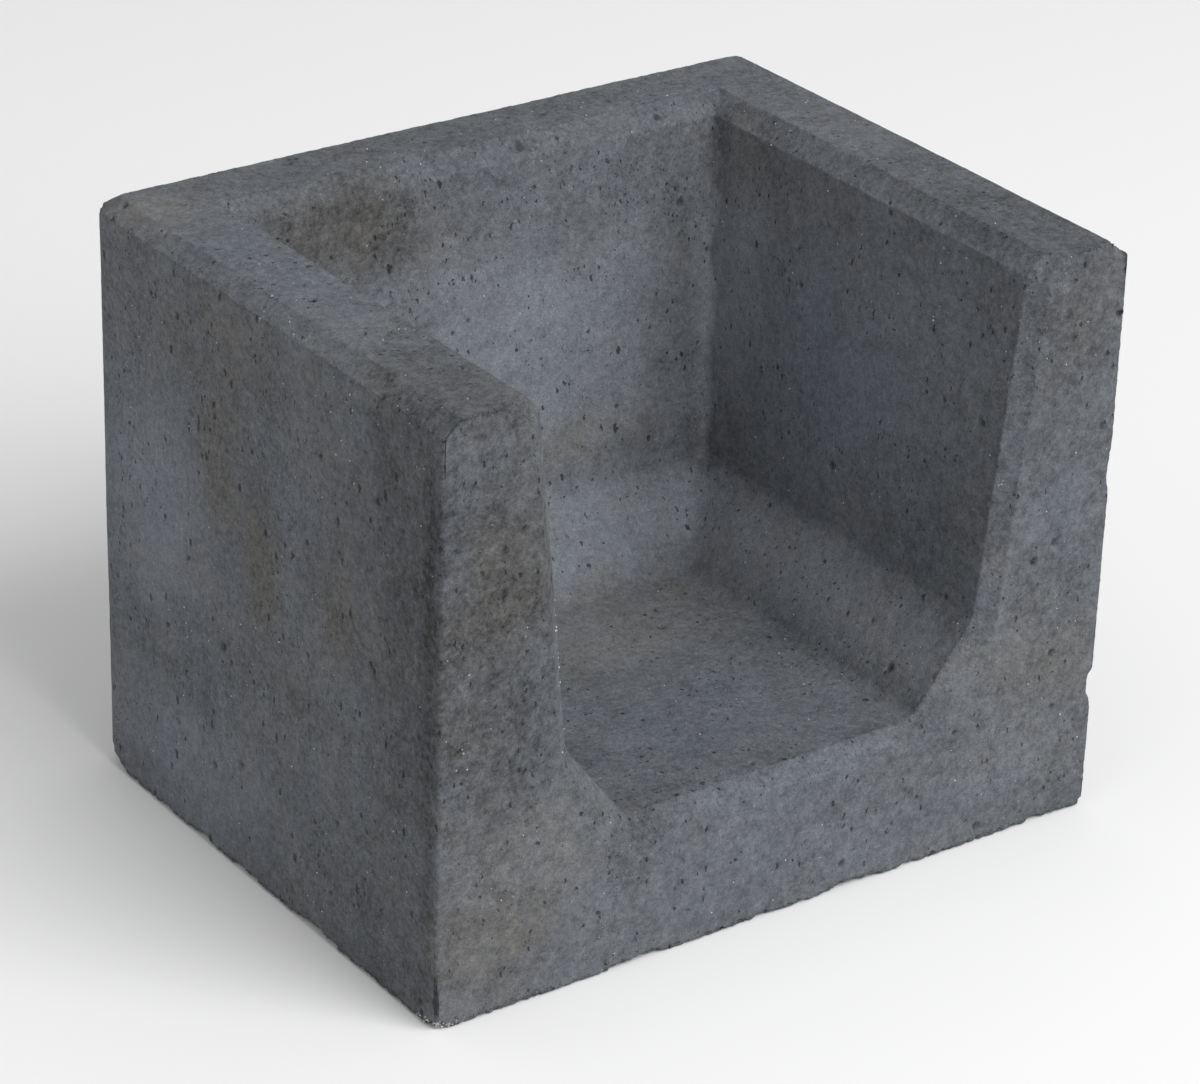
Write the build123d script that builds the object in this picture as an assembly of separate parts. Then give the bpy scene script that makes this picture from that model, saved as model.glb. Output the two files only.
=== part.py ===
"""Cast concrete trough block: one piece, open at the top and at the front.

A floor, a back wall and two side walls are cast as one. The inner faces of the walls lean
outwards so that the block leaves its mould, and a slanted facet joins each wall to the
floor. Flat bevels run round the rim, outside and inside, and round the open front.
Millimetres, +Z up. The origin is on the ground below the middle of the block, +X runs
along its width and the open front faces -Y.
"""
from build123d import *
import os
from math import radians, tan

# Outside of the block
block_width = 500.0
block_depth = 395.0
block_height = 395.0

# Walls at the height of the rim, and the floor
side_wall_at_rim = 72.0
back_wall_at_rim = 68.0
floor_thickness = 100.0

# Lean of the inner faces, in degrees from upright
side_wall_lean = 6.0
back_wall_lean = 8.5

# Slanted facets between the walls and the floor, and the soft bends along them
facet_rise = 57.0
side_facet_run = 44.0
back_facet_run = 42.0
facet_bend = 14.0

# Flat bevels: round the trough's mouth at the open front, and round the rim
mouth_bevel = 11.0
rim_inner_bevel = 13.0
rim_outer_bevel_across = 13.5
rim_outer_bevel_down = 8.5

# Rounded edges
back_corner_round = 20.0
arris_round = 3.0

# How far the shapes that cut the trough run past the block
overrun = 20.0

facet_top = floor_thickness + facet_rise
front_plane = -block_depth / 2
flat = 0.01


def to_face(half_size, wall_at_rim, lean, height):
    """Distance from the middle of the block to a leaning inner face at one height."""
    return half_size - wall_at_rim - (block_height - height) * tan(radians(lean))


def wall_line(half_size, wall_at_rim, lean, facet_run):
    """Points (distance from the middle, height) up a wall: floor, facet, inner face, bevel."""
    bevel_foot = block_height - rim_inner_bevel
    at_facet = to_face(half_size, wall_at_rim, lean, facet_top)
    at_bevel = to_face(half_size, wall_at_rim, lean, bevel_foot)
    opening = rim_inner_bevel + overrun
    return [
        (at_facet - facet_run, floor_thickness),
        (at_facet, facet_top),
        (at_bevel, bevel_foot),
        (at_bevel + opening, bevel_foot + opening),
    ]


def is_bend(corner, wall):
    """True for a corner of a section at either end of a wall's facet, on either side."""
    ends = wall[:2]
    return any(abs(abs(corner.X) - across) < flat and abs(corner.Y - up) < flat for across, up in ends)


def section(wall, others):
    """A closed section of the trough: one wall, the other points, and the facets' soft bends."""
    face = make_face(Polyline(*wall, *others, close=True))
    return fillet([corner for corner in face.vertices() if is_bend(corner, wall)], facet_bend)


def trough_space():
    """The space inside the walls, where the run between the sides meets the run to the back."""
    right = wall_line(block_width / 2, side_wall_at_rim, side_wall_lean, side_facet_run)
    left = [(-across, up) for across, up in reversed(right)]
    between_sides = extrude(Plane.XZ * section(right, left), amount=block_depth, both=True)
    back = wall_line(block_depth / 2, back_wall_at_rim, back_wall_lean, back_facet_run)
    outside = front_plane - overrun
    front = [(outside, back[-1][1]), (outside, floor_thickness)]
    to_back = extrude(Plane.YZ * section(back, front), amount=block_width, both=True)
    return between_sides & to_back


def lies_at_height(edge, height):
    """True for an edge that lies wholly at one height."""
    box = edge.bounding_box()
    return abs(box.min.Z - height) < flat and abs(box.max.Z - height) < flat


def lies_in_front(edge):
    """True for an edge that lies wholly in the plane of the open front."""
    return abs(edge.bounding_box().max.Y - front_plane) < flat


def borders_trough(edge):
    """True for an edge of the open front that follows the trough and not the block's outline."""
    middle = edge.center()
    inside = abs(middle.X) < block_width / 2 - side_wall_at_rim + rim_inner_bevel
    return lies_in_front(edge) and inside and flat < middle.Z < block_height - flat


def is_sharp_arris(edge):
    """True for the upright arrises of the open front and the arrises round the foot."""
    upright = lies_in_front(edge) and abs(edge.center().X) > block_width / 2 - flat
    return upright or lies_at_height(edge, 0.0)


def make_block():
    """The whole block: trough cut, then the flat bevels, then the rounded arrises."""
    solid = Box(block_width, block_depth, block_height, align=(Align.CENTER, Align.CENTER, Align.MIN))
    back_corners = [e for e in solid.edges().filter_by(Axis.Z) if e.center().Y > 0]
    solid = fillet(back_corners, back_corner_round)
    rim = [e for e in solid.edges() if lies_at_height(e, block_height) and not lies_in_front(e)]
    top = solid.faces().sort_by(Axis.Z)[-1]
    solid = chamfer(rim, rim_outer_bevel_across, rim_outer_bevel_down, reference=top)
    solid -= trough_space()
    solid = chamfer([e for e in solid.edges() if borders_trough(e)], mouth_bevel)
    return fillet([e for e in solid.edges() if is_sharp_arris(e)], arris_round)


os.makedirs("parts", exist_ok=True)
concrete_block = make_block()
export_step(concrete_block, "parts/concrete_block.step")
print("volume in litres", round(concrete_block.volume / 1e6, 2))
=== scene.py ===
"""Looks of a cast concrete trough block: its worn skin, the grit in it, and a plain studio.

The block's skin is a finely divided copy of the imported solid, crumbled along its arrises and
dented with pits. Lengths are millimetres up to the point where a mesh is made, unless a name
says otherwise.
"""
import logging
import math
from dataclasses import dataclass, field
from enum import Enum
from functools import partial
from typing import Callable, Sequence

import bmesh
import bpy
import numpy as np
from mathutils import Matrix, Vector, kdtree, noise
from mathutils.geometry import delaunay_2d_cdt


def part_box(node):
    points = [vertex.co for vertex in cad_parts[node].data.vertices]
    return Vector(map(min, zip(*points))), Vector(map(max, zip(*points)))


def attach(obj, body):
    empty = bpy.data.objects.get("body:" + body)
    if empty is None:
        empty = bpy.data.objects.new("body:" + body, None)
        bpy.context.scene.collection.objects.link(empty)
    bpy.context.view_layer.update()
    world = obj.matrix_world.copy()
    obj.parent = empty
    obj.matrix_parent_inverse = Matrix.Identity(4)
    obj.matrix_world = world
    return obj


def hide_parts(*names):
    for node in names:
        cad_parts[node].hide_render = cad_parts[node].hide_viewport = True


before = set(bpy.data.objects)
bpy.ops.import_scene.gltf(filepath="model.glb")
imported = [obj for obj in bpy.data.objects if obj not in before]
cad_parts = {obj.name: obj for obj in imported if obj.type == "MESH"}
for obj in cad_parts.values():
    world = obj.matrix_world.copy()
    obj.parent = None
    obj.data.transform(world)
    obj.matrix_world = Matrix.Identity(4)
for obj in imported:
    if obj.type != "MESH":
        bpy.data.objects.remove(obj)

LOG = logging.getLogger("concrete_block")
MM = 0.001
BLOCK_NODE = "concrete_block"
BODY = "root"

Point = tuple[float, float, float]
Colour = tuple[float, float, float]
Socket = bpy.types.NodeSocket
Piece = bpy.types.Object


class Mask(str, Enum):
    """Names of the values that the skin carries from its mesh to its material."""

    # shade carries the patches' lightness: stains and dust, and also painted light and shade
    SHADE = "shade"
    WARMTH = "warmth"
    ARRIS = "arris"
    PIT = "pit"
    RUB = "rub"


@dataclass(frozen=True)
class Patch:
    """A stained, dusty or rubbed place on the block, or one where light or shade is painted into the
    colour.

    Attributes:
        what: what is seen there.
        centre: the middle of the patch, in millimetres.
        reach: how far it spreads along each axis, in millimetres.
        shade: how much paler (above 0) or darker (below 0) it is.
        warmth: how much browner (above 0) or bluer (below 0) it is.
        rub: how far its arrises are rubbed white.
    """

    what: str
    centre: Point
    reach: Point
    shade: float = 0.0
    warmth: float = 0.0
    rub: float = 0.0


@dataclass(frozen=True)
class Chip:
    """A piece broken out of an arris.

    Attributes:
        centre: the middle of the broken place, in millimetres.
        reach: how far it goes along each axis, in millimetres.
        depth: how deep it is, in millimetres.
    """

    centre: Point
    reach: Point
    depth: float


PATCHES = tuple(Patch(*row) for row in (
    ("dust on the left side", (-250, 118, 215), (25, 75, 95), 0.46, -0.35),
    ("dust above the left foot", (-250, 90, 50), (25, 120, 55), 0.42, -0.35),
    ("brown streak, top", (-250, 47, 275), (25, 30, 50), -0.12, 0.95),
    ("brown streak, foot", (-250, -5, 225), (25, 26, 60), -0.18, 1.0),
    ("second brown streak", (-250, -90, 240), (25, 22, 60), -0.2, 0.8),
    ("dark end of the left side", (-250, -165, 330), (25, 65, 110), -0.38, 0.15),
    ("dark foot of that end", (-250, -165, 190), (25, 55, 110), -0.24, 0.2),
    ("dark low front of the left side", (-250, -150, 50), (25, 75, 65), -0.22, 0.1),
    ("dark top of the left side", (-250, 60, 350), (25, 120, 42), -0.08, 0.45),
    ("dark band on the left side", (-250, -40, 155), (25, 70, 16), -0.14, 0.3),
    # Painted shade: the whole left jamb darkened to hold down the key lamp's light on the front face.
    ("left jamb", (-205, -198, 250), (60, 22, 190), -0.36, 0.2),
    ("brown left jamb", (-205, -198, 285), (42, 22, 60), -0.03, 0.6),
    ("bluish edge of the left jamb", (-240, -198, 330), (16, 22, 70), 0.14, -0.4),
    ("warm pale patch", (-180, -198, 100), (55, 22, 38), 0.18, 0.45),
    ("brown foot of the front", (-215, -198, 45), (45, 22, 45), -0.04, 0.85),
    ("dark middle of the front", (-105, -198, 80), (35, 22, 32), -0.16, 0.25),
    ("blue front", (10, -198, 45), (120, 22, 45), 0.08, -0.4),
    # Painted highlight: the lip's rounding made paler and bluer, as where it catches the light.
    ("painted highlight, lip", (-10, -195, 92), (130, 14, 14), 0.12, -0.45),
    # Painted shade: the right jamb darkened to hold down the key lamp's light on the front face.
    ("right jamb", (205, -198, 270), (65, 22, 150), -0.16, 0.0),
    ("blue right jamb", (200, -198, 240), (50, 22, 55), 0.06, -0.25),
    ("dark head of the right jamb", (215, -198, 355), (50, 22, 50), -0.18, 0.2),
    ("brown foot of the right jamb", (205, -198, 115), (55, 22, 45), -0.04, 0.6),
    ("pale foot of the front", (180, -198, 50), (60, 22, 35), 0.12, 0.15),
    ("pale back corner of the rim", (-232, 150, 395), (35, 40, 20), 0.22, 0.55),
    ("blue left rim", (-215, 30, 395), (40, 110, 20), 0.12, -0.5),
    ("dark front of the left rim", (-215, -150, 395), (45, 75, 20), -0.26, 0.15),
    ("back rim", (0, 165, 395), (210, 35, 20), -0.18, -0.2),
    ("back right of the rim", (225, 150, 395), (50, 60, 20), -0.06, -0.35),
    ("front right of the rim", (215, -120, 395), (50, 120, 20), -0.24, -0.15),
    ("brown top of the back wall", (-110, 120, 372), (75, 30, 52), -0.34, 0.8),
    # Painted light: the middle of the back wall made paler, against the shade the side walls cast in
    # the trough.
    ("painted light, middle of the back wall", (15, 106, 255), (170, 32, 105), 0.56, -0.22),
    ("green-brown foot of the back wall", (65, 98, 190), (70, 26, 26), -0.1, 0.55),
    # Painted light: the low back wall made paler, against the shade in the trough.
    ("painted light, low back wall", (0, 96, 185), (160, 22, 50), 0.26, 0.0),
    ("right end of the back wall", (140, 110, 280), (34, 22, 90), -0.1, 0.1),
    # Painted light: the back facet made much paler, against the shade in the trough.
    ("painted light, back facet", (10, 78, 130), (160, 36, 42), 0.72, 0.0),
    # Painted light: the right inner wall, which lies in shade, made paler; its blue tint copies the
    # bluish shade there.
    ("right wall", (168, -30, 260), (26, 190, 175), 0.32, -0.2),
    # Painted light: the back end of the right wall made paler.
    ("painted light, back end of the right wall", (168, 95, 270), (20, 45, 150), 0.56, 0.0),
    # Painted shade colour: the right wall's blue stands in for the bluish shade there, with a little
    # painted light.
    ("blue right wall", (166, -30, 250), (24, 110, 75), 0.1, -0.6),
    ("dark front of the right wall", (160, -140, 190), (22, 60, 70), -0.1, 0.0),
    ("dark top of the right wall", (172, 60, 365), (22, 90, 36), -0.08, 0.35),
    # Painted light: the right facet made much paler, against the shade in the trough.
    ("painted light, right facet", (133, -40, 132), (26, 190, 38), 0.62, 0.05),
    ("left wall", (-168, -30, 260), (26, 190, 170), -0.05, 0.1),
    # Painted light: the trough's floor made paler, against the shade it lies in.
    ("floor", (0, -60, 100), (150, 160, 22), 0.12, 0.0),
    # A brown stain, with painted light that makes the floor's middle paler against the shade in the
    # trough.
    ("brown stain and painted light, back of the floor", (30, 15, 100), (110, 60, 20), 0.24, 0.55),
    ("blue front of the floor", (0, -110, 100), (120, 75, 20), 0.02, -0.4),
    ("dark flank of the near arris", (-250, -186, 200), (6, 10, 210), -0.3, 0.1),
    ("near arris, rubbed", (-249, -196, 60), (10, 10, 90), 0.1, 0.0, 1.0),
    ("near arris, rubbed high", (-249, -196, 250), (8, 8, 80), 0.05, 0.0, 0.8),
    ("near foot corner", (-246, -194, 8), (22, 22, 16), 0.1, 0.2, 0.6),
    ("left jamb's inner arris", (-160, -194, 215), (12, 10, 60), 0.1, 0.0, 0.9),
    ("top of the right jamb", (222, -196, 393), (34, 8, 8), 0.1, 0.0, 0.5),
))

CHIPS = tuple(Chip(*row) for row in (
    ((250, -197, 88), (16, 12, 15), 3.0),
    ((-250, 197, 0), (26, 26, 14), 7.0),
    ((-247, 190, 392), (12, 14, 10), 3.0),
    ((-250, -190, 392), (16, 18, 9), 3.5),
    ((-205, -197, 394), (26, 8, 8), 3.0),
    ((-250, -197, 2), (12, 12, 8), 3.0),
    ((247, -190, 391), (12, 14, 10), 3.0),
    ((250, -197, 240), (10, 9, 18), 1.4),
    ((60, -197, 0), (24, 8, 7), 2.4),
    ((-95, -197, 0), (16, 8, 6), 2.0),
    ((-250, -60, 0), (8, 22, 7), 2.4),
    ((-250, 70, 0), (8, 14, 7), 2.2),
    ((250, 40, 388), (10, 22, 9), 2.6),
    ((250, -95, 388), (10, 12, 8), 2.4),
    ((250, 60, 0), (8, 26, 9), 3.0),
    ((120, 197, 0), (26, 8, 8), 2.8),
))


def smooth(share: np.ndarray) -> np.ndarray:
    """Eases a share from 0 to 1 at both ends."""
    share = np.clip(share, 0.0, 1.0)
    return share * share * (3.0 - 2.0 * share)


def tree_of(points: Sequence) -> kdtree.KDTree:
    """A search tree that finds the nearest of many points."""
    tree = kdtree.KDTree(len(points))
    for number, point in enumerate(points):
        tree.insert(point, number)
    tree.balance()
    return tree


def new_object(name: str, data: bpy.types.ID) -> Piece:
    """Makes an object and puts it into the scene."""
    made = bpy.data.objects.new(name, data)
    bpy.context.scene.collection.objects.link(made)
    return made


def lumps(points: np.ndarray, size: float, seed: float) -> np.ndarray:
    """Solid noise at many points.

    Args:
        points: places in millimetres, one row each.
        size: how large its lumps are, in millimetres.
        seed: moves the pattern.

    Returns:
        A value from about -1 to 1 for each point.
    """
    moved = points / size + seed
    return np.array([noise.noise(row) for row in moved])


@dataclass
class Net:
    """A closed net of triangles.

    Attributes:
        points: corners in millimetres, one row each.
        faces: three corner numbers a row, seen anticlockwise from outside.
    """

    points: np.ndarray
    faces: np.ndarray

    def edges(self) -> np.ndarray:
        """Every edge once, as its two corner numbers."""
        pairs = np.sort(self.faces[:, [[0, 1], [1, 2], [2, 0]]], axis=2).reshape(-1, 2)
        keys = np.unique(pairs[:, 0] * len(self.points) + pairs[:, 1])
        return np.stack([keys // len(self.points), keys % len(self.points)], axis=1)

    def relax(self, movable: np.ndarray, times: int, step: float = 0.6) -> None:
        """Moves the movable corners, which lie in flats, a step towards their neighbours' mean."""
        ends = self.edges()
        near = np.bincount(ends.ravel(), minlength=len(self.points))
        for _ in range(times):
            sums = np.zeros_like(self.points)
            for axis in range(3):
                for one, other in ((0, 1), (1, 0)):
                    weights = self.points[ends[:, other], axis]
                    sums[:, axis] += np.bincount(ends[:, one], weights, len(self.points))
            mean = sums / near[:, None]
            self.points[movable] += step * (mean - self.points)[movable]


@dataclass
class FlatLayout:
    """Lays new points over a solid's flat faces and joins them to one net of triangles.

    Attributes:
        mesh: the solid's faces, with each flat as one polygon, in metres.
        wanted: gives the wanted distance between points for each of many places.
        coarsest: the widest distance, in millimetres.
        walk: how finely an edge is walked to divide it, in millimetres.
        narrow: strips narrower than this get no points inside, in millimetres.
    """

    mesh: bmesh.types.BMesh
    wanted: Callable[[np.ndarray], np.ndarray]
    coarsest: float
    walk: float = 0.8
    narrow: float = 1.5

    def build(self) -> Net:
        """Makes the net.

        Returns:
            A net whose triangles are about as large as wanted where they lie.
        """
        self.points = [np.array(vert.co) / MM for vert in self.mesh.verts]
        self.along = {edge: self._divide(edge) for edge in self.mesh.edges}
        self.faces: list[list[int]] = []
        shared = len(self.points)
        for face in self.mesh.faces:
            self._fill(face)
        net = Net(np.array(self.points), np.array(self.faces))
        net.relax(np.arange(len(net.points)) >= shared, 5)
        return net

    def _divide(self, edge: bmesh.types.BMEdge) -> list[int]:
        """Numbers of the points along an edge, with its ends."""
        start, end = (np.array(vert.co) / MM for vert in edge.verts)
        length = np.linalg.norm(end - start)
        fine = np.linspace(0.0, 1.0, max(2, int(length / self.walk)) + 1)
        middles = (fine[1:] + fine[:-1]) / 2
        steps = length * np.diff(fine) / self.wanted(start + middles[:, None] * (end - start))
        travelled = np.concatenate([[0.0], np.cumsum(steps)])
        count = max(1, round(travelled[-1]))
        shares = np.interp(np.arange(1, count) * travelled[-1] / count, travelled, fine)
        first = len(self.points)
        self.points += [start + share * (end - start) for share in shares]
        return [edge.verts[0].index, *range(first, len(self.points)), edge.verts[1].index]

    def _fill(self, face: bmesh.types.BMFace) -> None:
        """Fills one flat polygon with triangles."""
        border: list[int] = []
        for loop in face.loops:
            way = self.along[loop.edge]
            border += (way if loop.vert == loop.edge.verts[0] else way[::-1])[:-1]
        rim = np.array([self.points[number] for number in border])
        first = (rim[1] - rim[0]) / np.linalg.norm(rim[1] - rim[0])
        second = np.cross(np.array(face.normal), first)
        frame_of = np.stack([first, second / np.linalg.norm(second)])
        inner = self._spread(rim, frame_of)
        numbers = border + list(range(len(self.points), len(self.points) + len(inner)))
        self.points += list(inner)
        places = [Vector(row) for row in (np.vstack([rim, inner]) - rim[0]) @ frame_of.T]
        outline = [list(range(len(border)))]
        _, _, triangles, made_from, _, _ = delaunay_2d_cdt(places, [], outline, 1, 1e-5)
        for triangle in triangles:
            self.faces.append([numbers[made_from[corner][0]] for corner in triangle])

    def _spread(self, rim: np.ndarray, frame_of: np.ndarray) -> np.ndarray:
        """Points inside a polygon, from squares that halve until they are as small as wanted."""
        flat = (rim - rim[0]) @ frame_of.T
        low, high = flat.min(axis=0), flat.max(axis=0)
        size = self.coarsest
        if min(high - low) < self.narrow:
            return np.empty((0, 3))
        grid = [np.arange(a + size / 2, b + size / 2, size) for a, b in zip(low, high)]
        cells = np.stack(np.meshgrid(*grid), axis=-1).reshape(-1, 2)
        kept = []
        while len(cells):
            wanted = self.wanted(rim[0] + cells @ frame_of)
            small = size <= 1.35 * wanted
            kept += [(cells[small], np.full(small.sum(), size))]
            quarter = size / 4
            turns = np.array([(-1, -1), (1, -1), (1, 1), (-1, 1)]) * quarter
            cells = (cells[~small][:, None] + turns).reshape(-1, 2)
            size /= 2
        places = np.vstack([part for part, _ in kept])
        sizes = np.concatenate([part for _, part in kept])
        inside = self._inside(places, flat, 0.6 * sizes)
        return rim[0] + places[inside] @ frame_of

    @staticmethod
    def _inside(places: np.ndarray, outline: np.ndarray, margin: np.ndarray) -> np.ndarray:
        """True for each place inside an outline by at least its margin."""
        inside = np.zeros(len(places), bool)
        away = np.full(len(places), np.inf)
        for start, end in zip(outline, np.roll(outline, -1, axis=0)):
            run = end - start
            share = np.clip(((places - start) @ run) / (run @ run), 0.0, 1.0)
            gap = np.linalg.norm(places - start - share[:, None] * run, axis=1)
            away = np.minimum(away, gap)
            spans = (start[1] > places[:, 1]) != (end[1] > places[:, 1])
            if run[1]:
                across = start[0] + run[0] * (places[:, 1] - start[1]) / run[1]
                inside ^= spans & (places[:, 0] < across)
        return inside & (away > margin)


@dataclass
class Pits:
    """Open pores in the cast faces, large enough to be dents in the mesh.

    Attributes:
        count: how many there are.
        radius: the smallest and the largest, in millimetres.
        rarity: a higher one makes large pits rarer.
        depth: how deep a pit is, as a share of its radius.
        raggedness: how far a pit's outline wanders, as a share of its radius.
        seed: where the random draw starts.
    """

    count: int = 170
    radius: tuple[float, float] = (1.5, 3.6)
    rarity: float = 2.2
    depth: float = 0.75
    raggedness: float = 0.35
    seed: int = 11
    places: np.ndarray = field(init=False)
    inward: np.ndarray = field(init=False)
    radii: np.ndarray = field(init=False)
    tree: kdtree.KDTree = field(init=False)

    def scatter(self, mesh: bmesh.types.BMesh) -> None:
        """Draws the pits' places on the solid's faces, evenly by area."""
        rng = np.random.default_rng(self.seed)
        whole = mesh.copy()
        bmesh.ops.triangulate(whole, faces=whole.faces)
        rows = [[vert.co[:] for vert in face.verts] for face in whole.faces]
        whole.free()
        a, b, c = np.moveaxis(np.array(rows) / MM, 1, 0)
        cross = np.cross(b - a, c - a)
        areas = np.linalg.norm(cross, axis=1)
        chosen = rng.choice(len(areas), self.count, p=areas / areas.sum())
        u, v = rng.random((2, self.count))
        over = u + v > 1
        u[over], v[over] = 1 - u[over], 1 - v[over]
        sides = (b - a)[chosen], (c - a)[chosen]
        self.places = a[chosen] + u[:, None] * sides[0] + v[:, None] * sides[1]
        self.inward = -cross[chosen] / areas[chosen, None]
        low, high = self.radius
        self.radii = low + (high - low) * rng.random(self.count) ** self.rarity
        self.tree = tree_of(self.places)


class Arrises:
    """Points along every outward bend of the solid, with how sharp each bend is."""

    FILLET_STRIP = 1.6

    def __init__(self, mesh: bmesh.types.BMesh, spacing: float, least_angle: float) -> None:
        """Samples the bends. The narrow strips of a small fillet count as one square arris.

        Args:
            mesh: the solid's faces, in metres.
            spacing: how far apart the samples lie, in millimetres.
            least_angle: bends of fewer degrees are left out.
        """
        places: list[Vector] = []
        self.sharpness: list[float] = []
        for edge in mesh.edges:
            angle = math.degrees(edge.calc_face_angle(0.0))
            if not edge.is_convex or angle < least_angle:
                continue
            start, end = (vert.co / MM for vert in edge.verts)
            steps = max(1, int((end - start).length / spacing))
            places += [start.lerp(end, step / steps) for step in range(steps + 1)]
            strip = min(face.calc_area() for face in edge.link_faces) / edge.calc_length() / MM
            sharp = 1.0 if strip < self.FILLET_STRIP else (angle / 90.0) ** 1.5
            self.sharpness += [sharp] * (steps + 1)
        self.tree = tree_of(places)

    def mask(self, points: np.ndarray, width: float) -> np.ndarray:
        """How much each point is part of an arris: 1 on a square one, less on a blunt one.

        Args:
            points: places in millimetres, one row each.
            width: how far an arris reaches, in millimetres.

        Returns:
            A share for each point.
        """
        found = [self.tree.find(row) for row in points]
        near = np.array([item[2] for item in found])
        sharp = np.array([self.sharpness[item[1]] for item in found])
        return smooth(1 - near / width) * sharp


@dataclass
class CastSkin:
    """The block's outside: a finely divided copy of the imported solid, worn and pitted.

    Attributes:
        flat_spacing: length of an edge in the middle of a flat, in millimetres.
        arris_spacing: the same at an arris.
        growth: how fast the spacing grows with the distance from an arris or pit.
        arris_width: how far the crumbling reaches from an arris.
        corner_angle: bends sharper than this many degrees count as arrises.
        warp: how far the patches' outlines wander.
        pits: the pores that are dents in the mesh.
    """

    flat_spacing: float = 9.0
    arris_spacing: float = 1.6
    growth: float = 0.46
    arris_width: float = 3.4
    corner_angle: float = 8.0
    warp: float = 16.0
    pits: Pits = field(default_factory=Pits)

    def build(self) -> Piece:
        """Makes the skin's mesh with its masks.

        Returns:
            The skin as an object at the origin.
        """
        mesh = self._flats(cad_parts[BLOCK_NODE])
        arrises = Arrises(mesh, self.arris_spacing, self.corner_angle)
        self.pits.scatter(mesh)
        wanted = partial(self._spacing, arrises=arrises.tree)
        net = FlatLayout(mesh, wanted, self.flat_spacing).build()
        mesh.free()
        masks = self._paint(net.points)
        masks[Mask.ARRIS] = arrises.mask(net.points, self.arris_width)
        masks[Mask.PIT] = self._dent(net)
        self._chip(net)
        return self._make_object(net, masks)

    @staticmethod
    def _flats(node: Piece) -> bmesh.types.BMesh:
        """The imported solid's mesh with each flat as one polygon."""
        mesh = bmesh.new()
        mesh.from_mesh(node.data)
        bmesh.ops.remove_doubles(mesh, verts=mesh.verts, dist=0.05 * MM)
        bmesh.ops.dissolve_degenerate(mesh, edges=mesh.edges, dist=0.02 * MM)
        bmesh.ops.dissolve_limit(mesh, angle_limit=0.003, verts=mesh.verts, edges=mesh.edges)
        mesh.verts.index_update()
        mesh.normal_update()
        return mesh

    def _spacing(self, places: np.ndarray, arrises: kdtree.KDTree) -> np.ndarray:
        """How long an edge may be at each place: short at arrises and pits."""
        lengths = np.empty(len(places))
        for number, place in enumerate(places):
            by_arris = self.arris_spacing + self.growth * max(0.0, arrises.find(place)[2] - 2.5)
            _, pit, away = self.pits.tree.find(place)
            radius = self.pits.radii[pit]
            by_pit = 0.5 * radius + 0.55 * max(0.0, away - 1.2 * radius)
            lengths[number] = min(self.flat_spacing, by_arris, by_pit)
        return lengths

    def _paint(self, points: np.ndarray) -> dict[Mask, np.ndarray]:
        """Each corner's shade, warmth and rub from the patches that reach it, painted light and shade
        included.
        """
        drift = np.stack([lumps(points, 45.0, seed) for seed in (3.1, 17.7, 41.3)], axis=1)
        fine = np.stack([lumps(points, 14.0, seed) for seed in (5.9, 23.3, 61.1)], axis=1)
        moved = points + self.warp * (drift + 0.4 * fine)
        masks = {mask: np.zeros(len(points)) for mask in (Mask.SHADE, Mask.WARMTH, Mask.RUB)}
        for patch in PATCHES:
            thin = np.array(patch.reach) < 2 * self.warp
            place = np.where(thin, points, moved)
            away = np.linalg.norm((place - patch.centre) / patch.reach, axis=1)
            weight = smooth(1.25 - away)
            masks[Mask.SHADE] += patch.shade * weight
            masks[Mask.WARMTH] += patch.warmth * weight
            masks[Mask.RUB] += patch.rub * weight
        return masks

    def _dent(self, net: Net) -> np.ndarray:
        """Presses the pits into the net.

        Returns:
            How deep in a pit each corner lies, from 0 to 1.
        """
        depth = np.zeros(len(net.points))
        tree = tree_of(net.points)
        pushed = np.zeros_like(net.points)
        for place, inward, radius in zip(self.pits.places, self.pits.inward, self.pits.radii):
            for _, corner, away in tree.find_range(place, 1.5 * radius):
                wander = self.pits.raggedness * noise.noise(Vector(net.points[corner]) / 1.6)
                share = float(smooth(np.array(1.25 - away / radius / (1 + wander))))
                pushed[corner] += inward * share * radius * self.pits.depth
                depth[corner] = max(depth[corner], share)
        net.points += pushed
        return depth

    def _chip(self, net: Net) -> None:
        """Breaks the chips out of the arrises, inwards from the outer faces beside each."""
        low, high = (np.array(corner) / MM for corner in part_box(BLOCK_NODE))
        for chip in CHIPS:
            away = np.linalg.norm((net.points - chip.centre) / chip.reach, axis=1)
            hit = away < 1.2
            rough = lumps(net.points[hit], 5.0, 7.7)
            share = smooth(1.15 - away[hit] + 0.35 * rough)
            outward = (np.array(chip.centre) - (low + high) / 2) / (high - low) * 2
            outward = np.sign(outward) * (np.abs(outward) > 0.9)
            inward = -outward / np.linalg.norm(outward)
            net.points[hit] += share[:, None] * inward * chip.depth

    def _make_object(self, net: Net, masks: dict[Mask, np.ndarray]) -> Piece:
        """Turns the net and its masks into an object, smooth shaded."""
        mesh = bpy.data.meshes.new("cast_skin")
        mesh.from_pydata((net.points * MM).tolist(), [], net.faces.tolist())
        for mask, values in masks.items():
            layer = mesh.attributes.new(mask.value, "FLOAT", "POINT")
            layer.data.foreach_set("value", values.astype(np.float32))
        mesh.shade_smooth()
        return new_object("cast_skin", mesh)


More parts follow.
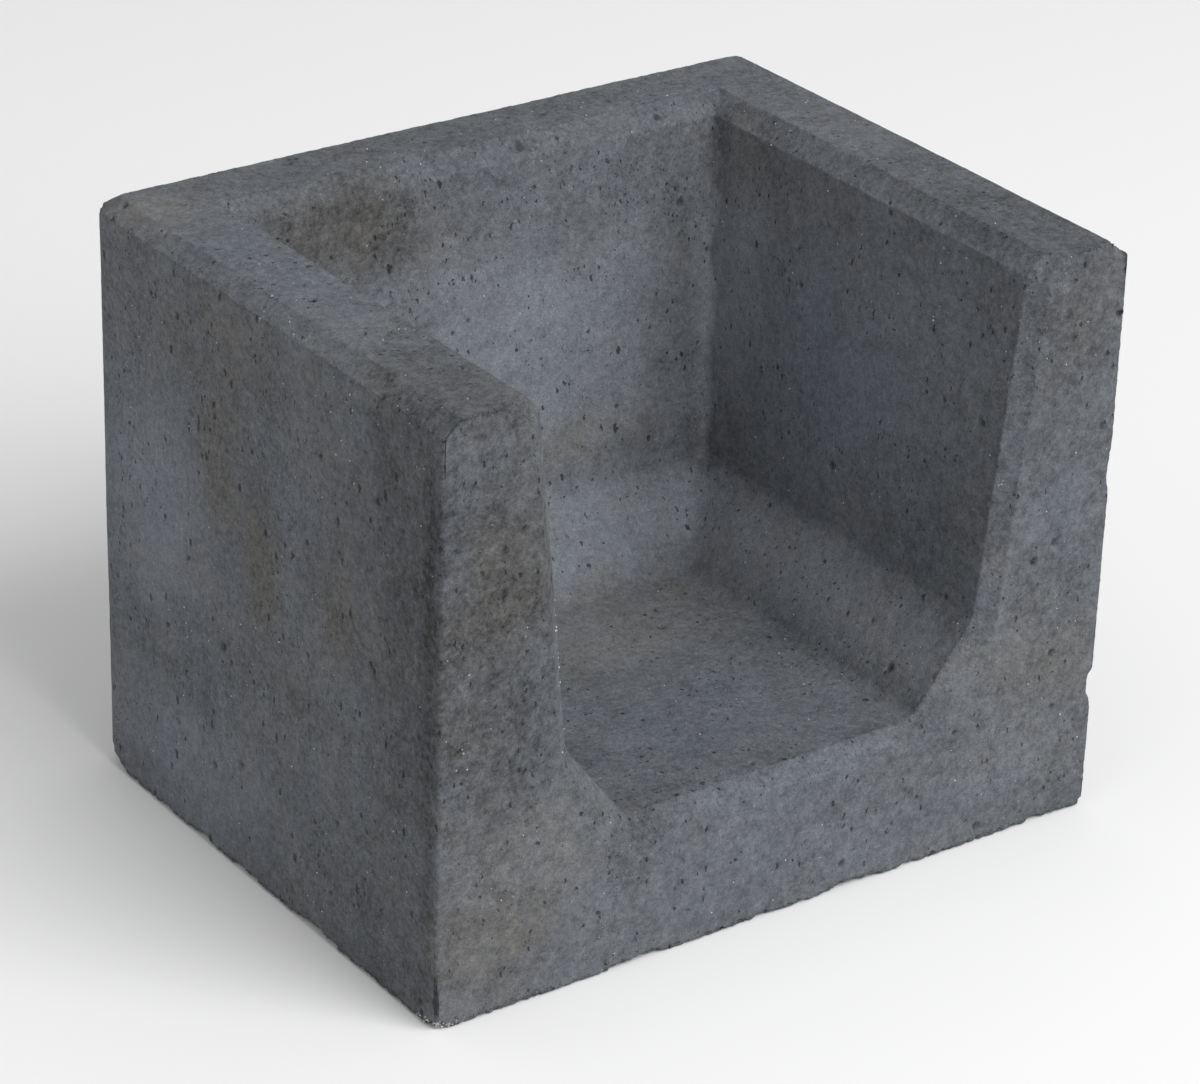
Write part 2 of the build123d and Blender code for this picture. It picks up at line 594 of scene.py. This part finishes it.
class TreeBuilder:
    """Adds and joins nodes in one node tree, with short calls."""

    def __init__(self, tree: bpy.types.NodeTree) -> None:
        """Starts on a tree, which is emptied."""
        self.tree = tree
        tree.nodes.clear()

    def add(self, kind: str, inputs: dict | None = None, **settings: object) -> bpy.types.Node:
        """Adds a node.

        Args:
            kind: Blender's name for the kind of node.
            inputs: for a socket's name or number, a value, or an output to join to it.
            settings: values for the node's own properties, which come first.

        Returns:
            The new node.
        """
        node = self.tree.nodes.new(kind)
        for name, value in settings.items():
            setattr(node, name, value)
        for name, value in (inputs or {}).items():
            self.feed(node.inputs[name], value)
        return node

    def feed(self, socket: Socket, value: object) -> None:
        """Joins an output to a socket, or sets the socket's own value."""
        if isinstance(value, Socket):
            self.tree.links.new(value, socket)
        else:
            socket.default_value = value

    def maths(self, operation: str, *values: object, clamp: bool = False) -> Socket:
        """The result of a sum on numbers, each a value or an output."""
        numbered = dict(enumerate(values))
        return self.add("ShaderNodeMath", numbered, operation=operation, use_clamp=clamp).outputs[0]

    def times(self, first: object, second: object, clamp: bool = False) -> Socket:
        """Two numbers multiplied."""
        return self.maths("MULTIPLY", first, second, clamp=clamp)

    def vector(self, operation: str, *values: object) -> Socket:
        """The vector that a vector sum gives."""
        node = self.add("ShaderNodeVectorMath", dict(enumerate(values)), operation=operation)
        return node.outputs[0]

    def scaled(self, vector: object, factor: object) -> Socket:
        """A vector or colour times one number."""
        inputs = {0: vector, "Scale": factor}
        return self.add("ShaderNodeVectorMath", inputs, operation="SCALE").outputs[0]

    def spread(self, value: object, source: tuple, target: tuple) -> Socket:
        """A value moved from one range to another, and kept in it."""
        inputs = dict(enumerate((value, *source, *target)))
        return self.add("ShaderNodeMapRange", inputs).outputs[0]

    def mix(self, factor: object, first: object, second: object) -> Socket:
        """A blend of two colours."""
        node = self.add("ShaderNodeMix", data_type="RGBA")
        for number, value in ((0, factor), (6, first), (7, second)):
            self.feed(node.inputs[number], value)
        return node.outputs[2]

    def noise(self, vector: object, size: object, detail: float = 3.0, **inputs: object) -> Socket:
        """Solid noise from 0 to 1 with lumps of about a size in metres."""
        joined = isinstance(size, Socket)
        scale = self.maths("DIVIDE", 1.0, size) if joined else 1.0 / size
        given = {"Vector": vector, "Scale": scale, "Detail": detail, **inputs}
        return self.add("ShaderNodeTexNoise", given).outputs[0]

    def named(self, mask: Mask) -> Socket:
        """A mask of the skin, in a material."""
        return self.add("ShaderNodeAttribute", attribute_name=mask.value).outputs["Fac"]

    def field(self, mask: Mask) -> Socket:
        """A mask of the skin, in geometry nodes."""
        name = {"Name": mask.value}
        return self.add("GeometryNodeInputNamedAttribute", name, data_type="FLOAT").outputs[0]

    def group(self, name: str, inputs: dict) -> Socket:
        """What a shader group puts out for these inputs."""
        return self.add("ShaderNodeGroup", inputs, node_tree=bpy.data.node_groups[name]).outputs[0]

    def chance(self, kind: str, low: object, high: object, seed: object) -> Socket:
        """A random value between two others for each point, of the kind FLOAT or FLOAT_VECTOR."""
        node = self.add("FunctionNodeRandomValue", {"Seed": seed}, data_type=kind)
        ends = [socket for socket in node.inputs if socket.enabled and socket.name in ("Min", "Max")]
        self.feed(ends[0], low)
        self.feed(ends[1], high)
        return next(socket for socket in node.outputs if socket.enabled)


def new_group(name: str, kind: str, inputs: dict[str, object], output: str) -> TreeBuilder:
    """Makes an empty node group with named sockets.

    Args:
        name: the group's name.
        kind: ShaderNodeTree or GeometryNodeTree.
        inputs: for each input's name, a number as its default, or the kind of its socket.
        output: the output's name. Geometry is a socket of that kind, and all else is a number.

    Returns:
        A builder on the group's tree.
    """
    tree = bpy.data.node_groups.new(name, kind)
    kinds = {float: "Float", int: "Int"}
    for label, value in inputs.items():
        socket = "NodeSocket" + kinds.get(type(value), str(value))
        made = tree.interface.new_socket(label, in_out="INPUT", socket_type=socket)
        if type(value) in kinds:
            made.default_value = value
    socket = "NodeSocket" + ("Geometry" if output == "Geometry" else "Float")
    tree.interface.new_socket(output, in_out="OUTPUT", socket_type=socket)
    return TreeBuilder(tree)


def new_material(name: str) -> tuple[bpy.types.Material, TreeBuilder]:
    """A material without nodes, and a builder on its tree."""
    material = bpy.data.materials.new(name)
    material.use_nodes = True
    return material, TreeBuilder(material.node_tree)


def mottle_group() -> bpy.types.NodeTree:
    """Soft blotches of one size, as a value about 0."""
    inputs = {"Vector": "Vector", "Size": 0.05, "Strength": 0.1, "Shift": 0.0}
    build = new_group("mottle", "ShaderNodeTree", inputs, "Value")
    given = build.add("NodeGroupInput").outputs
    moved = build.vector("ADD", given["Vector"], given["Shift"])
    value = build.noise(moved, given["Size"], detail=4.0, Roughness=0.62, Distortion=0.35)
    centred = build.maths("SUBTRACT", value, 0.5)
    strong = build.times(build.times(centred, 4.0), given["Strength"])
    build.add("NodeGroupOutput", {"Value": strong})
    return build.tree


def pore_group() -> bpy.types.NodeTree:
    """Ragged pores, some of them drawn out, as a mask from 0 to 1."""
    inputs = {"Vector": "Vector", "Spacing": 0.008, "Radius": 0.0012, "Share": 0.4, "Drawn out": 1.6}
    build = new_group("pores", "ShaderNodeTree", inputs, "Mask")
    given = build.add("NodeGroupInput").outputs
    upright = build.maths("DIVIDE", 1.0, given["Drawn out"])
    factors = build.add("ShaderNodeCombineXYZ", {0: 1.0, 1: 1.0, 2: upright}).outputs[0]
    ragged = build.add("ShaderNodeTexNoise", {"Vector": given["Vector"], "Scale": 430.0, "Detail": 3.0})
    push = build.vector("SUBTRACT", ragged.outputs["Color"], (0.5, 0.5, 0.5))
    push = build.scaled(push, 0.0042)
    place = build.vector("ADD", build.vector("MULTIPLY", given["Vector"], factors), push)
    scale = build.maths("DIVIDE", 1.0, given["Spacing"])
    cells = build.add("ShaderNodeTexVoronoi", {"Vector": place, "Scale": scale})
    away = build.times(cells.outputs["Distance"], given["Spacing"])
    pick = build.add("ShaderNodeSeparateColor", {0: cells.outputs["Color"]}).outputs
    open_cell = build.maths("LESS_THAN", pick[0], given["Share"])
    radius = build.times(given["Radius"], build.spread(pick[1], (0, 1), (0.5, 1.2)))
    inside = build.spread(build.maths("DIVIDE", away, radius), (0.65, 1.05), (1.0, 0.0))
    build.add("NodeGroupOutput", {"Mask": build.times(inside, open_cell)})
    return build.tree


# Each mottling: size of its blotches in metres, strength, and a shift of its pattern
MOTTLES = (
    (0.11, 0.09, 2.0),
    (0.034, 0.14, 5.0),
    (0.011, 0.24, 9.0),
    (0.0042, 0.36, 4.0),
    (0.0021, 0.24, 7.0),
)

# Each size of pore: spacing and radius in metres, and the share of places that hold one
PORES = ((0.0100, 0.0017, 0.5), (0.0056, 0.0010, 0.62), (0.0033, 0.0006, 0.62))


@dataclass(frozen=True)
class ConcreteFinish:
    """Dark grey concrete, cast earth-moist.

    Attributes:
        plain, brown, blue, rubbed: linear colours of the face, its stains and its worn arrises.
        roughness: the mean roughness.
        specular: how strongly it reflects.
        sand_size, lump_size, crumb_size: of the fine relief, in metres.
        sand_height, lump_height, crumb_height, pore_depth: of the same, in millimetres.
        pore_shade, pit_shade: painted shade in pores and pits, as how pale a pore or pit is against its
            face.
        darkest: no place is darker than this against the plain colour.
    """

    plain: Colour = (0.104, 0.111, 0.123)
    brown: Colour = (0.114, 0.1115, 0.108)
    blue: Colour = (0.096, 0.109, 0.126)
    rubbed: Colour = (0.3, 0.3, 0.29)
    roughness: float = 0.88
    specular: float = 0.35
    sand_size: float = 0.0011
    lump_size: float = 0.0055
    crumb_size: float = 0.0026
    sand_height: float = 0.62
    lump_height: float = 0.80
    crumb_height: float = 2.6
    pore_depth: float = 0.9
    pore_shade: float = 0.26
    pit_shade: float = 0.45
    darkest: float = 0.12

    def material(self) -> bpy.types.Material:
        """Builds the finish: patches, some of them painted light and shade, mottling, sand, pores and
        pits darkened with painted shade, and worn arrises.
        """
        material, build = new_material("cast_concrete")
        place = build.add("ShaderNodeTexCoord").outputs["Object"]
        shade = self._shade(build, place)
        sand = build.noise(place, self.sand_size, Roughness=0.7)
        pores = self._pores(build, place)
        colour = self._colour(build, place)
        grain = build.spread(sand, (0.25, 0.75), (0.66, 1.34))
        light = build.times(build.maths("ADD", shade, 1.0), grain)
        # Painted shade: pores darkened in colour, as if shadowed inside.
        dark = build.spread(pores, (0.0, 1.0), (1.0, self.pore_shade))
        light = build.times(light, dark)
        # Painted shade: the dented pits darkened in colour, as if shadowed inside.
        pit = build.spread(build.named(Mask.PIT), (0.15, 0.9), (1.0, self.pit_shade))
        light = build.maths("MAXIMUM", build.times(light, pit), self.darkest)
        toned = build.scaled(colour, light)
        worn = self._worn(build, place)
        toned = build.mix(worn, toned, (*self.rubbed, 1.0))
        shader = build.add("ShaderNodeBsdfPrincipled", {"Base Color": toned})
        shader.inputs["Specular IOR Level"].default_value = self.specular
        rough = build.spread(sand, (0.3, 0.7), (self.roughness + 0.08, self.roughness - 0.06))
        build.feed(shader.inputs["Roughness"], rough)
        build.feed(shader.inputs["Normal"], self._relief(build, place, sand, pores))
        build.add("ShaderNodeOutputMaterial", {"Surface": shader.outputs[0]})
        return material

    def _shade(self, build: TreeBuilder, place: Socket) -> Socket:
        """Lightness against the plain colour: patches and five sizes of mottling."""
        total = build.named(Mask.SHADE)
        for size, strength, shift in MOTTLES:
            inputs = {"Vector": place, "Size": size, "Strength": strength, "Shift": shift}
            total = build.maths("ADD", total, build.group("mottle", inputs))
        return total

    def _colour(self, build: TreeBuilder, place: Socket) -> Socket:
        """Plain colour, turned brown or blue by the patches and by chance."""
        drift = build.maths("SUBTRACT", build.noise(place, 0.05), 0.5)
        speck = build.maths("SUBTRACT", build.noise(place, 0.006, detail=2.0), 0.5)
        drift = build.times(drift, 1.6)
        chance = build.maths("ADD", drift, build.times(speck, 1.4))
        warmth = build.maths("ADD", build.named(Mask.WARMTH), chance)
        brown = build.times(warmth, 1.0, clamp=True)
        blue = build.times(warmth, -1.0, clamp=True)
        colour = build.mix(brown, (*self.plain, 1.0), (*self.brown, 1.0))
        return build.mix(blue, colour, (*self.blue, 1.0))

    def _pores(self, build: TreeBuilder, place: Socket) -> Socket:
        """Pores of three sizes, denser in some places than in others."""
        dense = build.spread(build.noise(place, 0.038), (0.44, 0.62), (0.16, 1.0))
        arris = build.times(build.named(Mask.ARRIS), 1.6, clamp=True)
        dense = build.maths("MAXIMUM", dense, arris)
        deepest = 0.0
        for spacing, radius, share in PORES:
            inputs = {"Vector": place, "Spacing": spacing, "Radius": radius, "Drawn out": 1.7}
            inputs["Share"] = build.times(dense, share)
            deepest = build.maths("MAXIMUM", deepest, build.group("pores", inputs))
        return deepest

    def _worn(self, build: TreeBuilder, place: Socket) -> Socket:
        """Where arrises are rubbed down to pale grains."""
        grains = build.spread(build.noise(place, 0.0022, detail=2.0), (0.5, 0.68), (0.0, 1.0))
        rub = build.times(build.named(Mask.RUB), build.named(Mask.ARRIS))
        return build.times(rub, grains, clamp=True)

    def _relief(self, build: TreeBuilder, place: Socket, sand: Socket, pores: Socket) -> Socket:
        """Fine relief in millimetres: sand, small lumps, pores and crumbled arrises."""
        lump = build.noise(place, self.lump_size, Roughness=0.6)
        height = build.times(sand, self.sand_height)
        height = build.maths("ADD", height, build.times(lump, self.lump_height))
        height = build.maths("SUBTRACT", height, build.times(pores, self.pore_depth))
        crumb = build.noise(place, self.crumb_size, Roughness=0.7)
        crumb = build.times(crumb, self.crumb_height)
        height = build.maths("ADD", height, build.times(crumb, build.named(Mask.ARRIS)))
        bump = build.add("ShaderNodeBump", {"Strength": 1.0, "Distance": MM, "Height": height})
        return bump.outputs[0]


def crumble_tree() -> bpy.types.NodeTree:
    """Geometry nodes that roughen the skin: slow waves, lumps on the faces, crumbled arrises."""
    depths = dict.fromkeys(("Wave depth", "Face relief", "Arris wear", "Bite depth"), 0.0)
    inputs = {"Geometry": "Geometry", **depths, "Material": "Material"}
    build = new_group("crumble", "GeometryNodeTree", inputs, "Geometry")
    given = build.add("NodeGroupInput").outputs
    place = build.add("GeometryNodeInputPosition").outputs[0]
    arris = build.field(Mask.ARRIS)
    normal = build.add("GeometryNodeInputNormal").outputs[0]
    wave = build.maths("SUBTRACT", build.noise(place, 0.16, detail=1.0), 0.75)
    relief = build.maths("SUBTRACT", build.noise(place, 0.014, detail=2.0), 0.8)
    crumbs = build.noise(place, 0.0052, detail=4.0, Roughness=0.7)
    crumbs = build.spread(crumbs, (0.3, 0.56), (-1.0, 0.0))
    bites = build.spread(build.noise(place, 0.017, detail=2.0), (0.54, 0.72), (0.0, -1.0))
    total = build.times(wave, given["Wave depth"])
    total = build.maths("ADD", total, build.times(relief, given["Face relief"]))
    wear = build.times(crumbs, given["Arris wear"])
    wear = build.maths("ADD", wear, build.times(bites, given["Bite depth"]))
    total = build.maths("ADD", total, build.times(wear, arris))
    offset = build.scaled(normal, total)
    moved = build.add("GeometryNodeSetPosition", {"Geometry": given["Geometry"], "Offset": offset})
    real = build.add("GeometryNodeRealizeInstances", {0: moved.outputs[0]})
    finished = {"Geometry": real.outputs[0], "Material": given["Material"]}
    dressed = build.add("GeometryNodeSetMaterial", finished)
    build.add("NodeGroupOutput", {"Geometry": dressed.outputs[0]})
    return build.tree


def grit_tree() -> bpy.types.NodeTree:
    """Geometry nodes that set small angular grains into a surface."""
    inputs = {
        "Geometry": "Geometry",
        "Density": 1000.0,
        "Smallest": 0.0003,
        "Largest": 0.0008,
        "Clump size": 0.05,
        "Rubbed only": 0.0,
        "Seed": 1,
        "Material": "Material",
    }
    build = new_group("grit", "GeometryNodeTree", inputs, "Geometry")
    given = build.add("NodeGroupInput").outputs
    place = build.add("GeometryNodeInputPosition").outputs[0]
    clumps = build.spread(build.noise(place, given["Clump size"], detail=2.0), (0.42, 0.66), (0.0, 1.0))
    rubbed = build.times(build.field(Mask.ARRIS), build.field(Mask.RUB), clamp=True)
    choice = {0: given["Rubbed only"], 2: 1.0, 3: rubbed}
    kept = build.add("ShaderNodeMix", choice, data_type="FLOAT").outputs[0]
    density = build.times(build.times(clumps, kept), given["Density"])
    surface = {"Mesh": given["Geometry"], "Density": density, "Seed": given["Seed"]}
    spots = build.add("GeometryNodeDistributePointsOnFaces", surface)
    grain = build.add("GeometryNodeMeshIcoSphere", {"Radius": 1.0, "Subdivisions": 1}).outputs[0]
    size = build.chance("FLOAT", given["Smallest"], given["Largest"], given["Seed"])
    turn = build.chance("FLOAT_VECTOR", (0.0, 0.0, 0.0), (math.tau,) * 3, given["Seed"])
    grains = {"Points": spots.outputs["Points"], "Instance": grain, "Rotation": turn, "Scale": size}
    set_in = build.add("GeometryNodeInstanceOnPoints", grains)
    real = build.add("GeometryNodeRealizeInstances", {0: set_in.outputs[0]})
    finished = {"Geometry": real.outputs[0], "Material": given["Material"]}
    dressed = build.add("GeometryNodeSetMaterial", finished)
    build.add("NodeGroupOutput", {"Geometry": dressed.outputs[0]})
    return build.tree


def grow(source: Piece, tree: bpy.types.NodeTree, name: str, values: dict) -> Piece:
    """Runs geometry nodes on an object's mesh and keeps the result as a plain object.

    Args:
        source: the object whose mesh goes in.
        tree: the geometry nodes.
        name: the new piece's name.
        values: the tree's inputs by name.

    Returns:
        The new piece, at the origin and with no modifier.
    """
    holder = new_object(name + "_holder", source.data)
    modifier = holder.modifiers.new("nodes", "NODES")
    modifier.node_group = tree
    inputs = [item for item in tree.interface.items_tree if item.in_out == "INPUT"]
    sockets = {item.name: item.identifier for item in inputs}
    for label, value in values.items():
        modifier[sockets[label]] = value
    evaluated = holder.evaluated_get(bpy.context.evaluated_depsgraph_get())
    mesh = bpy.data.meshes.new_from_object(evaluated)
    mesh.name = name
    holder.modifiers.clear()
    bpy.data.objects.remove(holder)
    LOG.info("%s: %d faces", name, len(mesh.polygons))
    return new_object(name, mesh)


@dataclass(frozen=True)
class GrainFinish:
    """Loose or set-in grains of one colour.

    Attributes:
        name: the material's name.
        colour: linear colour.
        roughness: how dull the grains are.
    """

    name: str
    colour: Colour
    roughness: float

    def material(self) -> bpy.types.Material:
        """Builds the finish, a little different from grain to grain."""
        material, build = new_material(self.name)
        place = build.add("ShaderNodeTexCoord").outputs["Object"]
        vary = build.spread(build.noise(place, 0.004, detail=1.0), (0.3, 0.7), (0.55, 1.35))
        fine = build.spread(build.noise(place, 0.0005, detail=1.0), (0.3, 0.7), (0.85, 1.15))
        toned = build.scaled(self.colour, build.times(vary, fine))
        rough = build.spread(fine, (0.85, 1.15), (self.roughness - 0.05, self.roughness + 0.05))
        shader = build.add("ShaderNodeBsdfPrincipled", {"Base Color": toned, "Roughness": rough})
        build.add("ShaderNodeOutputMaterial", {"Surface": shader.outputs[0]})
        return material


# Each piece of grit: grains to the square metre, their smallest and largest radius and their
# clumps' size in metres, 1 where they lie on rubbed arrises only, and the random draw's seed
GRAIN_SIZES = ("Density", "Smallest", "Largest", "Clump size", "Rubbed only", "Seed")
GRAINS = {
    "pale_grains": (2600.0, 0.00022, 0.00060, 0.06, 0.0, 4),
    "rubbed_grains": (900000.0, 0.00025, 0.00080, 0.03, 1.0, 9),
}


@dataclass
class ConcreteBlock:
    """The whole dressed block: crumbled skin and pale grit.

    Attributes:
        wave_depth, face_relief, arris_wear, bite_depth: depths of the roughening, in metres.
    """

    wave_depth: float = 0.0011
    face_relief: float = 0.0005
    arris_wear: float = 0.0030
    bite_depth: float = 0.0026
    skin: CastSkin = field(default_factory=CastSkin)
    finish: ConcreteFinish = ConcreteFinish()

    def build(self) -> list[Piece]:
        """Makes the pieces and puts them on the block's body.

        Returns:
            The skin and the grit.
        """
        mottle_group()
        pore_group()
        concrete = self.finish.material()
        plain = self.skin.build()
        values = {
            "Wave depth": self.wave_depth,
            "Face relief": self.face_relief,
            "Arris wear": self.arris_wear,
            "Bite depth": self.bite_depth,
            "Material": concrete,
        }
        skin = grow(plain, crumble_tree(), "block_skin", values)
        skin.data.shade_smooth()
        bpy.data.objects.remove(plain)
        self._keep_in_box(skin)
        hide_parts(BLOCK_NODE)
        pieces = [skin, *self._grit(skin)]
        for piece in pieces:
            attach(piece, BODY)
        return pieces

    def _keep_in_box(self, piece: Piece) -> None:
        """Presses what stands past the solid's box back onto it, so that the block rests flat."""
        low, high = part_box(BLOCK_NODE)
        flat = np.empty(len(piece.data.vertices) * 3, np.float32)
        piece.data.vertices.foreach_get("co", flat)
        inside = np.clip(flat.reshape(-1, 3), np.array(low), np.array(high))
        piece.data.vertices.foreach_set("co", inside.astype(np.float32).ravel())
        piece.data.update()

    @staticmethod
    def _grit(skin: Piece) -> list[Piece]:
        """Pale grains in the faces, and along the arrises where they are rubbed."""
        tree = grit_tree()
        pale = GrainFinish("pale_grit", (0.46, 0.46, 0.44), 0.5).material()
        pieces = []
        for name, sizes in GRAINS.items():
            values = dict(zip(GRAIN_SIZES, sizes)) | {"Material": pale}
            pieces.append(grow(skin, tree, name, values))
        return pieces


@dataclass
class Studio:
    """Pale floor, soft lamps, white surroundings and the camera.

    Attributes:
        azimuth, elevation, roll: where the camera stands round the block, in degrees.
        distance: from the block's middle to the camera, in millimetres.
        aside, above: how far the camera's line passes beside the aim, in millimetres.
        aim_height: height of the aim above the ground, in millimetres.
        focal_length, sensor_width: of the camera, in millimetres.
        ambient: how bright the surroundings light the block.
        key_level, fill_level: brightness of a white face turned to the lamp.
        lamp_distance, lamp_size: of both lamps, in metres.
        floor_size: side of the floor, in metres.
        floor_white: how pale the floor is.
    """

    azimuth: float = -36.03
    elevation: float = 26.61
    roll: float = 1.71
    distance: float = 2766.0
    aside: float = 1.7
    above: float = -24.7
    aim_height: float = 200.0
    focal_length: float = 132.24
    sensor_width: float = 36.0
    ambient: float = 0.52
    key_level: float = 0.95
    fill_level: float = 0.04
    lamp_distance: float = 7.0
    lamp_size: float = 5.0
    floor_size: float = 14.0
    floor_white: float = 0.88

    def build(self) -> None:
        """Sets up everything round the block."""
        self._camera()
        self._surroundings()
        self._floor()
        self._lamp("key", azimuth=16.0, elevation=42.0, level=self.key_level)
        self._lamp("fill", azimuth=-80.0, elevation=30.0, level=self.fill_level)
        bpy.context.scene.view_settings.view_transform = "Standard"

    def _camera(self) -> None:
        """Places the camera where the photograph was taken from."""
        back = self._direction(self.azimuth, self.elevation)
        turned = math.radians(self.azimuth)
        right = Vector((math.cos(turned), math.sin(turned), 0.0))
        up = back.cross(right)
        tilt = math.radians(self.roll)
        level = right * math.cos(tilt) + up * math.sin(tilt)
        upright = up * math.cos(tilt) - right * math.sin(tilt)
        place = back * self.distance + right * self.aside + up * self.above
        place += Vector((0.0, 0.0, self.aim_height))
        data = bpy.data.cameras.new("camera")
        data.lens = self.focal_length
        data.sensor_width = self.sensor_width
        data.clip_start = 0.05
        turn = Matrix((level, upright, back)).transposed().to_4x4()
        camera = new_object("camera", data)
        camera.matrix_world = Matrix.Translation(place * MM) @ turn
        bpy.context.scene.camera = camera

    @staticmethod
    def _direction(azimuth: float, elevation: float) -> Vector:
        """The way from the block to something round it, as a unit vector."""
        a, e = math.radians(azimuth), math.radians(elevation)
        return Vector((math.sin(a) * math.cos(e), -math.cos(a) * math.cos(e), math.sin(e)))

    def _surroundings(self) -> None:
        """White to the camera and in reflections, softer as a light."""
        world = bpy.data.worlds.new("surroundings")
        bpy.context.scene.world = world
        world.use_nodes = True
        build = TreeBuilder(world.node_tree)
        seen = self._seen(build)
        strength = build.spread(seen, (0.0, 1.0), (self.ambient, 1.0))
        white = {"Color": (1.0, 1.0, 1.0, 1.0), "Strength": strength}
        shader = build.add("ShaderNodeBackground", white)
        build.add("ShaderNodeOutputWorld", {"Surface": shader.outputs[0]})

    @staticmethod
    def _seen(build: TreeBuilder) -> Socket:
        """1 for rays from the camera, from reflections and through glass."""
        path = build.add("ShaderNodeLightPath").outputs
        seen = build.maths("MAXIMUM", path["Is Camera Ray"], path["Is Glossy Ray"])
        return build.maths("MAXIMUM", seen, path["Is Transmission Ray"])

    def _floor(self) -> None:
        """A pale floor under the block, which keeps its shadow."""
        half = self.floor_size / 2
        mesh = bpy.data.meshes.new("floor")
        corners = [(-half, -half, 0.0), (half, -half, 0.0), (half, half, 0.0), (-half, half, 0.0)]
        mesh.from_pydata(corners, [], [(0, 1, 2, 3)])
        floor = new_object("floor", mesh)
        material, build = new_material("floor_paint")
        paint = {"Base Color": (*[self.floor_white] * 3, 1.0), "Roughness": 0.9}
        shader = build.add("ShaderNodeBsdfPrincipled", paint)
        shader.inputs["Specular IOR Level"].default_value = 0.2
        build.add("ShaderNodeOutputMaterial", {"Surface": shader.outputs[0]})
        mesh.materials.append(material)

    def _lamp(self, name: str, azimuth: float, elevation: float, level: float) -> None:
        """Hangs a square soft lamp.

        Args:
            name: the lamp's name.
            azimuth, elevation: where it hangs round the block, in degrees.
            level: how bright it makes a white face turned to it.
        """
        data = bpy.data.lights.new(name, "AREA")
        data.shape = "SQUARE"
        data.size = self.lamp_size
        data.energy = level * math.pi ** 2 * self.lamp_distance ** 2
        lamp = new_object(name, data)
        way = self._direction(azimuth, elevation)
        lamp.location = way * self.lamp_distance + Vector((0.0, 0.0, self.aim_height * MM))
        lamp.rotation_euler = (-way).to_track_quat("-Z", "Y").to_euler()


def corners(box: tuple[Vector, Vector]) -> list[list[float]]:
    """A box's two corners as plain lists."""
    return [list(corner) for corner in box]


def main() -> None:
    """Builds the studio and the block."""
    logging.basicConfig(level=logging.INFO, format="%(message)s")
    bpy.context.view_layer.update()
    Studio().build()
    for piece in ConcreteBlock().build():
        LOG.info("piece %s", piece.name)


if __name__ == "__main__":
    main()
